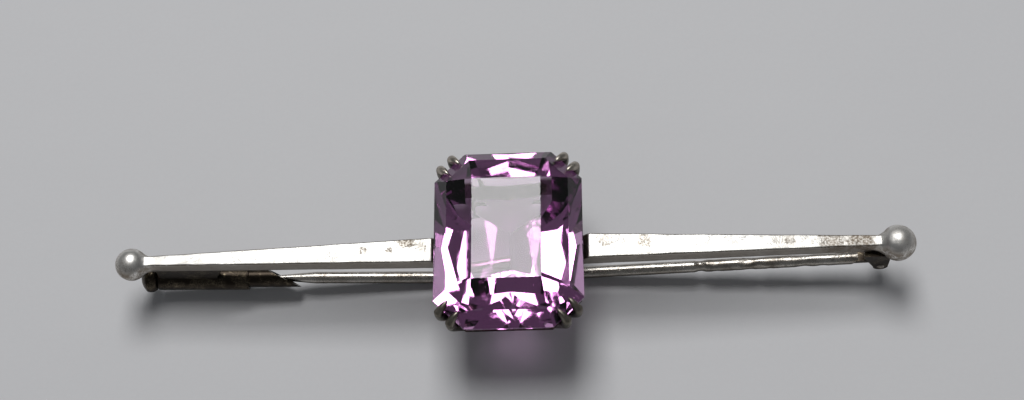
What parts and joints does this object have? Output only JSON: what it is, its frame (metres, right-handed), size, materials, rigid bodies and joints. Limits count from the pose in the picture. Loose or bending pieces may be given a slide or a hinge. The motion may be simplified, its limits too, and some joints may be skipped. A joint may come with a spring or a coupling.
{
  "type": "bar brooch",
  "caption": "Bar brooch with a claw-set cut-corner stone, tapered arms with ball ends, and a hinged pin closed by a sliding tube catch.",
  "frame": {"origin": "middle of the footprint, at the height of the pin's lowest point", "axes": "+Z out of the front of the stone, +X along the bar towards the pin's hinge, +Y across the bar"},
  "size_m": [0.0656, 0.0152, 0.0111],
  "materials": {
    "amethyst": "polished",
    "silver": "worn polish",
    "dark_silver": "tarnished"
  },
  "bodies": {
    "frame": {"stone": "amethyst", "gallery_band": "dark_silver", "base_rail": "dark_silver", "claw_1": "dark_silver", "claw_2": "dark_silver", "claw_3": "dark_silver", "claw_4": "dark_silver", "claw_5": "dark_silver", "claw_6": "dark_silver", "claw_7": "dark_silver", "claw_8": "dark_silver", "arm_left": "silver", "arm_right": "silver", "ball_left": "silver", "ball_right": "silver", "catch_bracket": "dark_silver", "catch_tube": "dark_silver", "catch_collar": "dark_silver", "hinge_ears": "dark_silver", "hinge_rivet": "silver"},
    "slider": {"slider_tube": "dark_silver", "slider_rod": "dark_silver", "slider_knob": "dark_silver"},
    "pin": {"pin_tongue": "silver", "pin_stem": "silver"}
  },
  "joints": [
    {"name": "pin_hinge", "type": "hinge", "parent": "frame", "child": "pin", "pos_m": [0.03025, 0, 0.00259], "axis": [0, -1, 0], "range_deg": [0, 90]},
    {"name": "slider_pull", "type": "slide", "parent": "frame", "child": "slider", "axis": [-0.9978, 0, 0.0663], "range_m": [0, 0.0047]}
  ]
}
